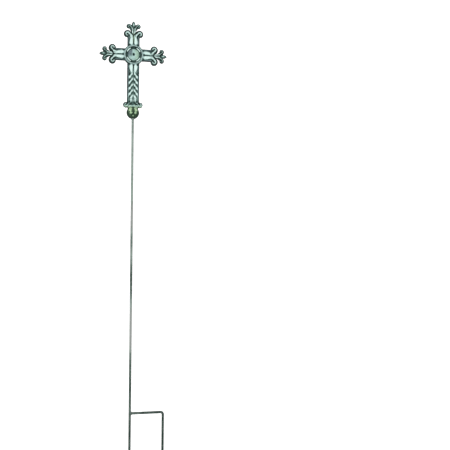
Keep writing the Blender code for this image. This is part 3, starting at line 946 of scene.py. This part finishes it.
def taper(x, bottom):
    for step in range(1, TIP_STEPS + 1):
        bpy.ops.mesh.extrude_region_move(TRANSFORM_OT_translate={"value": (0, 0, -TIP_LENGTH / TIP_STEPS)})
        before = 1 + (TIP_SHARE - 1) * (step - 1) / TIP_STEPS
        after = 1 + (TIP_SHARE - 1) * step / TIP_STEPS
        bpy.ops.transform.resize(value=(after / before, after / before, 1), center_override=(x, 0, bottom))


def rough(obj):
    """A slightly uneven skin, as paint and rust leave on drawn wire."""
    lumpy(obj, "rod_skin", ROD_LUMPS, ROD_ROUGHNESS)
    apply_all(obj)
    obj.data.shade_smooth()


main_rod = rod_start("main_rod", (0, 0, rod_high.z), (0, 0, 0))
extrude_straight(Vector((0, 0, -1)), rod_high.z - rod_low.z - TIP_LENGTH)
taper(0, rod_low.z)
bpy.ops.object.mode_set(mode="OBJECT")
closed(main_rod)
rough(main_rod)
print("main rod", len(main_rod.data.polygons), "faces")

# %% [markdown]
# ## Foot bar and second prong
# These are one bent piece of wire. It is extruded along, round the bend in small steps and down. A bevelled curve
# would do, but here the tip is tapered like the other one.

# %% Foot bar and second prong
SPACING = prong_high.x - ROD_RADIUS
BEND = ROD_RADIUS * 2
BEND_STEPS = 10
bar_height = prong_high.z - ROD_RADIUS
start_x = ROD_RADIUS * 0.8  # inside the main rod, under the weld
bent_rod = rod_start("foot_bar", (start_x, 0, bar_height), (0, math.pi / 2, 0))
extrude_straight(Vector((1, 0, 0)), SPACING - BEND - start_x)
bend_centre = Vector((SPACING - BEND, 0, bar_height - BEND))
for step in range(BEND_STEPS):
    before = math.pi / 2 * (1 - step / BEND_STEPS)
    after = math.pi / 2 * (1 - (step + 1) / BEND_STEPS)
    move = BEND * Vector((math.cos(after) - math.cos(before), 0, math.sin(after) - math.sin(before)))
    bpy.ops.mesh.extrude_region_move(TRANSFORM_OT_translate={"value": move})
    here = bend_centre + BEND * Vector((math.cos(after), 0, math.sin(after)))
    turn(math.pi / 2 / BEND_STEPS, here, "Y")
extrude_straight(Vector((0, 0, -1)), bend_centre.z - prong_low.z - TIP_LENGTH)
taper(SPACING, prong_low.z)
bpy.ops.object.mode_set(mode="OBJECT")
closed(bent_rod)
rough(bent_rod)
print("foot bar", len(bent_rod.data.polygons), "faces")

# %% [markdown]
# ## Welds
# A weld bead is a ring of overlapping puddles. It starts as a torus, and its skin is pushed in and out in even
# steps round the ring, with a little unevenness.


# %% Weld beads
WELD_SEGMENTS = 8  # for each puddle
WELD_SIDES = 16


def weld(name, place, rotation, radius, thickness, puddles):
    nothing_selected()
    bpy.ops.mesh.primitive_torus_add(
        major_radius=radius,
        minor_radius=thickness,
        major_segments=puddles * WELD_SEGMENTS,
        minor_segments=WELD_SIDES,
    )
    obj = bpy.context.object
    obj.name = name
    for vert in obj.data.vertices:
        around = math.atan2(vert.co.y, vert.co.x)
        middle = Vector((radius * math.cos(around), radius * math.sin(around), 0))
        puddle = (around / (2 * math.pi) * puddles) % 1
        swell = 0.82 + 0.26 * math.sin(math.pi * puddle) ** 0.5
        lump = 1 + 0.25 * noise.noise(vert.co * 900)
        vert.co = middle + (vert.co - middle) * swell * lump
    obj.rotation_euler = rotation
    obj.location = place
    bpy.ops.object.transform_apply(location=True, rotation=True, scale=True)
    obj.data.shade_smooth()
    return closed(obj)


foot_weld = weld("foot_weld", (ROD_RADIUS + 0.0003, 0, bar_height), (0, math.pi / 2, 0), 0.0031, 0.0012, 9)
socket_weld = weld("socket_weld", (0, 0, cross_low.z + 0.0004), (0, 0, 0), 0.0035, 0.0011, 10)
print("welds", len(foot_weld.data.polygons), "and", len(socket_weld.data.polygons), "faces")

# %% [markdown]
# ## Verdigris
# The paint imitates the crust of old copper. Near-black shows in the hollows, there with painted shade as well,
# teal and grey-green lie over it, and a chalky pale mint covers what stands up. Short helpers make the nodes.


# %% Material helpers
def new_material(name):
    made = bpy.data.materials.new(name)
    made.use_nodes = True
    tree = made.node_tree
    return made, tree, tree.nodes["Principled BSDF"]


def add(tree, kind, settings=(), **inputs):
    node = tree.nodes.new(kind)
    for name, value in dict(settings).items():
        setattr(node, name, value)
    for name, value in inputs.items():
        socket = node.inputs[name.replace("_", " ")] if not name.startswith("i") else node.inputs[int(name[1:])]
        if isinstance(value, bpy.types.NodeSocket):
            tree.links.new(value, socket)
        else:
            socket.default_value = value
    return node


def maths(tree, operation, a, b=0.0, clamp=False):
    return add(tree, "ShaderNodeMath", {"operation": operation, "use_clamp": clamp}, i0=a, i1=b).outputs[0]


def ramp(tree, factor, stops):
    node = add(tree, "ShaderNodeValToRGB", i0=factor)
    bar = node.color_ramp.elements
    while len(bar) < len(stops):
        bar.new(0.5)
    for element, (place, colour) in zip(bar, stops):
        element.position = place
        element.color = (*colour, 1)
    return node.outputs["Color"]


def grain(tree, place, scale, detail=4.0, roughness=0.6):
    node = add(tree, "ShaderNodeTexNoise", Vector=place, Scale=scale, Detail=detail, Roughness=roughness)
    return node.outputs["Fac"]


def mixed(tree, factor, first, second, blend="MIX"):
    node = add(tree, "ShaderNodeMix", {"data_type": "RGBA", "blend_type": blend})
    for socket, value in ((node.inputs[0], factor), (node.inputs[6], first), (node.inputs[7], second)):
        if isinstance(value, bpy.types.NodeSocket):
            tree.links.new(value, socket)
        else:
            socket.default_value = value if isinstance(value, float) else (*value, 1)
    return node.outputs[2]


def swung(tree, value, strength):
    return maths(tree, "MULTIPLY", maths(tree, "SUBTRACT", value, 0.5), strength)


def dress(tree, shader, colour, amount, roughness, specular, fine, relief):
    tree.links.new(colour, shader.inputs["Base Color"])
    rough_value = add(tree, "ShaderNodeMapRange", Value=amount, i3=roughness[0], i4=roughness[1]).outputs[0]
    tree.links.new(rough_value, shader.inputs["Roughness"])
    shader.inputs["Specular IOR Level"].default_value = specular
    bump = add(tree, "ShaderNodeBump", Height=fine, Strength=relief[0], Distance=relief[1])
    tree.links.new(bump.outputs[0], shader.inputs["Normal"])


def attribute(tree, name):
    return add(tree, "ShaderNodeAttribute", {"attribute_name": name}).outputs["Fac"]


NEAR_BLACK = (0.010, 0.020, 0.017)
DEEP_TEAL = (0.026, 0.060, 0.050)
GREY_GREEN = (0.12, 0.20, 0.175)
PALE_MINT = (0.36, 0.54, 0.49)
CHALK = (0.60, 0.77, 0.72)
PLUM_GREY = (0.55, 0.46, 0.60)
MOSS = (0.86, 0.84, 0.56)


# %% [markdown]
# ## Finish of the casting
# The share kept in the mesh picks the colour from a row of five. Noise of three sizes shifts the share first and
# breaks every border, or it would look printed. Paler places are chalkier, so they are rougher too.


# %% Cast verdigris
def cast_verdigris():
    made, tree, shader = new_material("cast_verdigris")
    place = add(tree, "ShaderNodeTexCoord").outputs["Object"]
    broad = grain(tree, place, 70.0, 3.0)
    medium = grain(tree, place, 330.0, 4.0, 0.65)
    fine = grain(tree, place, 1300.0, 3.0, 0.7)
    share = attribute(tree, "pale")
    behind = maths(tree, "MULTIPLY", attribute(tree, "behind"), 0.16)
    wander = swung(tree, medium, 0.42)
    speck = swung(tree, fine, 0.30)
    worn = swung(tree, broad, 0.30)
    amount = maths(tree, "ADD", maths(tree, "ADD", share, behind), wander)
    amount = maths(tree, "ADD", maths(tree, "ADD", amount, speck), worn, clamp=True)
    stops = [(0.0, NEAR_BLACK), (0.14, DEEP_TEAL), (0.34, GREY_GREEN), (0.62, PALE_MINT), (0.92, CHALK)]
    colour = ramp(tree, amount, stops)
    colour = mixed(tree, attribute(tree, "moss"), colour, mixed(tree, 1.0, colour, MOSS, "MULTIPLY"))
    purple = maths(tree, "MULTIPLY", attribute(tree, "plum"), 0.8)
    colour = mixed(tree, purple, colour, mixed(tree, 1.0, colour, PLUM_GREY, "MULTIPLY"))
    dress(tree, shader, colour, amount, (0.45, 0.88), 0.12, fine, (0.35, 0.0003))
    return made


# %% [markdown]
# ## Finish of the rods
# The same paint is worn in bands down the rod. It has no carving to catch the finish, so the share comes from the
# height, with noise that is stretched along the wire. Painted shade darkens the wire where its surface turns
# sideways.

# %% Rod verdigris
# How much pale finish is left down the rod: the height above the soil in metres, and a share.
ROD_BANDS = [(-0.12, 0.34), (-0.02, 0.34), (0.02, 0.46), (0.08, 0.38), (0.13, 0.42), (0.17, 0.72), (0.235, 0.80)]
ROD_BANDS += [(0.28, 0.58), (0.335, 0.38), (0.385, 0.68), (0.41, 0.50), (0.47, 0.80), (0.54, 0.70), (0.65, 0.76)]
ROD_BANDS += [(0.70, 0.56)]
GREY_BANDS = ((0.205, 0.06), (0.475, 0.04))  # where the finish is a neutral grey: height, and half width
ROD_DARK = (0.028, 0.046, 0.038)
ROD_MIDDLE = (0.10, 0.132, 0.116)
ROD_PALE = (0.25, 0.305, 0.275)
LESS_GREEN = (1.06, 0.93, 0.98)


def rod_verdigris():
    made, tree, shader = new_material("rod_verdigris")
    place = add(tree, "ShaderNodeTexCoord").outputs["Object"]
    squeeze = add(tree, "ShaderNodeMapping", Vector=place, Scale=(1.0, 1.0, 0.30)).outputs[0]
    patches = grain(tree, squeeze, 75.0, 3.0, 0.5)
    flecks = grain(tree, squeeze, 480.0, 4.0, 0.65)
    fine = grain(tree, place, 1500.0, 3.0, 0.7)
    split = add(tree, "ShaderNodeSeparateXYZ", Vector=place).outputs
    z = split["Z"]
    low, high = ROD_BANDS[0][0], ROD_BANDS[-1][0]
    height = add(tree, "ShaderNodeMapRange", Value=z, i1=low, i2=high).outputs[0]
    shares = [((level - low) / (high - low), (share, share, share)) for level, share in ROD_BANDS]
    bands = ramp(tree, height, shares)
    bar = add(tree, "ShaderNodeMapRange", Value=split["X"], i1=0.006, i2=0.03, i3=0.0, i4=-0.10).outputs[0]
    mottle = swung(tree, flecks, 0.85)
    drift = swung(tree, patches, 0.5)
    # painted shade: the wire is darker where its surface turns sideways
    sides = maths(tree, "MULTIPLY", attribute(tree, "sideways_shade"), -0.12)
    uneven = maths(tree, "ADD", maths(tree, "ADD", mottle, sides), maths(tree, "ADD", drift, bar))
    amount = maths(tree, "ADD", bands, uneven, clamp=True)
    stops = [(0.10, NEAR_BLACK), (0.26, ROD_DARK), (0.46, ROD_MIDDLE), (0.72, ROD_PALE)]
    colour = ramp(tree, amount, stops)
    grey = mixed(tree, 1.0, colour, LESS_GREEN, "MULTIPLY")
    for middle, half in GREY_BANDS:
        away = maths(tree, "ABSOLUTE", maths(tree, "SUBTRACT", z, middle))
        near = add(tree, "ShaderNodeMapRange", Value=away, i1=half, i2=half * 0.6).outputs[0]
        colour = mixed(tree, near, colour, grey)
    dress(tree, shader, colour, amount, (0.55, 0.9), 0.03, fine, (0.3, 0.0002))
    return made


CAST = cast_verdigris()
ROD = rod_verdigris()


def finish_with(obj, material):
    obj.data.materials.clear()
    obj.data.materials.append(material)


finish_with(cross, CAST)
for piece in (main_rod, bent_rod, foot_weld, socket_weld):
    finish_with(piece, ROD)
    # how far each point turns sideways, for the painted shade on the wire
    store(piece, "sideways_shade", [1 - abs(v.normal.y) for v in piece.data.vertices])
print("materials", CAST.name, "and", ROD.name)

# %% [markdown]
# ## Pieces
# Every piece rides on the stake's one body. The welds stand for no solid of their own.

# %% Pieces on the body
for piece, slot in (
    (cross, "verdigris_casting"),
    (main_rod, "verdigris_rod"),
    (bent_rod, "verdigris_rod"),
    (foot_weld, "verdigris_rod"),
    (socket_weld, "verdigris_rod"),
):
    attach(piece, "root")
    print(piece.name, "has the finish", slot)
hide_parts("cast_cross")
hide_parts("stake_rod")
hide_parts("step_prong")

# %% [markdown]
# ## Studio
# The photograph has a pure white ground. A floor that curves up into a wall gives that, with a little light of its
# own so that it stays white in the shade. A large lamp from the upper left and a weaker one from the right model
# the carving. The plain Standard view keeps white white.

# %% Studio
FLOOR_Z = rod_low.z
SWEEP_RADIUS = 1.0
SWEEP_TURNS = 16
SWEEP_SIZE = (14, 6.2, 1)
BACK_EDGE_Y = 2.0  # only the floor's back edge lies beyond this
WALL_HEIGHT = 4
WHITE = (0.9, 0.9, 0.9, 1)
PAPER_GLOW = 0.55
WORLD_LIGHT = 0.65

nothing_selected()
bpy.ops.mesh.primitive_plane_add(size=1.0, location=(0, -0.9, FLOOR_Z))
sweep = bpy.context.object
sweep.name = "sweep"
sweep.scale = SWEEP_SIZE
bpy.ops.object.transform_apply(location=True, rotation=True, scale=True)
edit(sweep, "EDGE")
bpy.ops.mesh.select_all(action="DESELECT")
bpy.ops.object.mode_set(mode="OBJECT")
for edge in sweep.data.edges:
    ends = [sweep.data.vertices[i].co.y for i in edge.vertices]
    edge.select = min(ends) > BACK_EDGE_Y
bpy.ops.object.mode_set(mode="EDIT")
for step in range(SWEEP_TURNS):
    before, after = (math.pi / 2 * number / SWEEP_TURNS for number in (step, step + 1))
    move = SWEEP_RADIUS * Vector((0, math.sin(after) - math.sin(before), math.cos(before) - math.cos(after)))
    bpy.ops.mesh.extrude_region_move(TRANSFORM_OT_translate={"value": move})
bpy.ops.mesh.extrude_region_move(TRANSFORM_OT_translate={"value": (0, 0, WALL_HEIGHT)})
bpy.ops.object.mode_set(mode="OBJECT")
sweep.data.shade_smooth()

paper, _, paper_shader = new_material("white_paper")
paper_shader.inputs["Base Color"].default_value = WHITE
paper_shader.inputs["Roughness"].default_value = 0.95
paper_shader.inputs["Specular IOR Level"].default_value = 0.0
paper_shader.inputs["Emission Color"].default_value = WHITE
paper_shader.inputs["Emission Strength"].default_value = PAPER_GLOW
finish_with(sweep, paper)


def soft_light(name, place, aim, size, power):
    data = bpy.data.lights.new(name, "AREA")
    data.shape = "DISK"
    data.size = size
    data.energy = power
    lamp = bpy.data.objects.new(name, data)
    lamp.location = place
    lamp.rotation_euler = (Vector(aim) - Vector(place)).to_track_quat("-Z", "Y").to_euler()
    bpy.context.scene.collection.objects.link(lamp)


soft_light("key", (-1.5, -2.0, 2.2), (0, 0, 0.6), 1.0, 32)
soft_light("fill", (1.8, -1.8, 0.9), (0, 0, 0.5), 1.6, 8)
world = bpy.data.worlds.new("pale")
world.use_nodes = True
world.node_tree.nodes["Background"].inputs["Color"].default_value = (1, 1, 1, 1)
world.node_tree.nodes["Background"].inputs["Strength"].default_value = WORLD_LIGHT
bpy.context.scene.world = world
bpy.context.scene.view_settings.view_transform = "Standard"
print("studio", len(sweep.data.polygons), "faces in the sweep")
